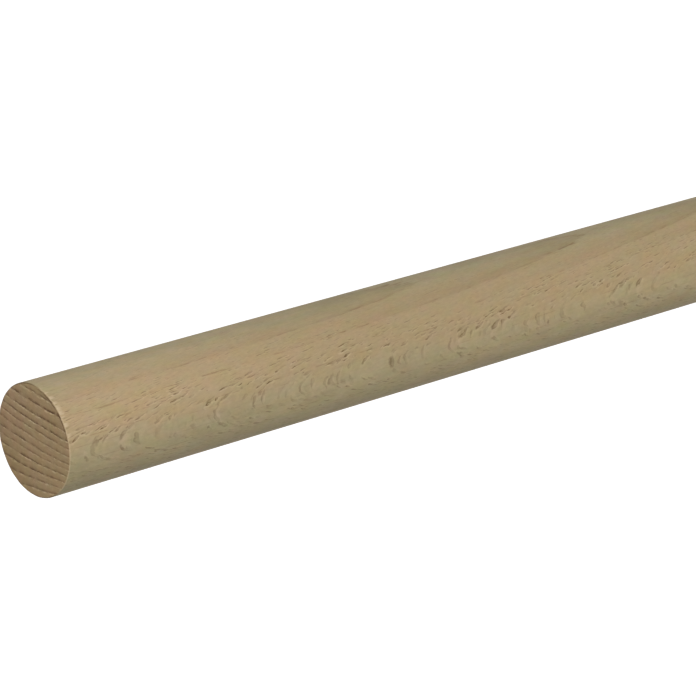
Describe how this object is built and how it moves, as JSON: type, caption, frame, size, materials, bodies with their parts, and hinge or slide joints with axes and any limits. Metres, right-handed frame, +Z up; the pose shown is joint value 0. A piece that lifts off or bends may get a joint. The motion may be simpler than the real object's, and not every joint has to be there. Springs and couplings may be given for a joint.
{
  "type": "wooden dowel rod",
  "caption": "Straight round beech rod with square-sawn ends and lightly eased end arrises, for drilled holes, rails and pegs.",
  "frame": {"origin": "centre of the lower end face, on the rod's axis", "axes": "+Z up along the rod's axis, from the lower end to the upper end; the section is round, so +X and +Y are free"},
  "size_m": [0.028, 0.028, 1],
  "materials": {
    "beech": "matte"
  },
  "bodies": {
    "root": {"dowel_rod": "beech"}
  },
  "joints": []
}
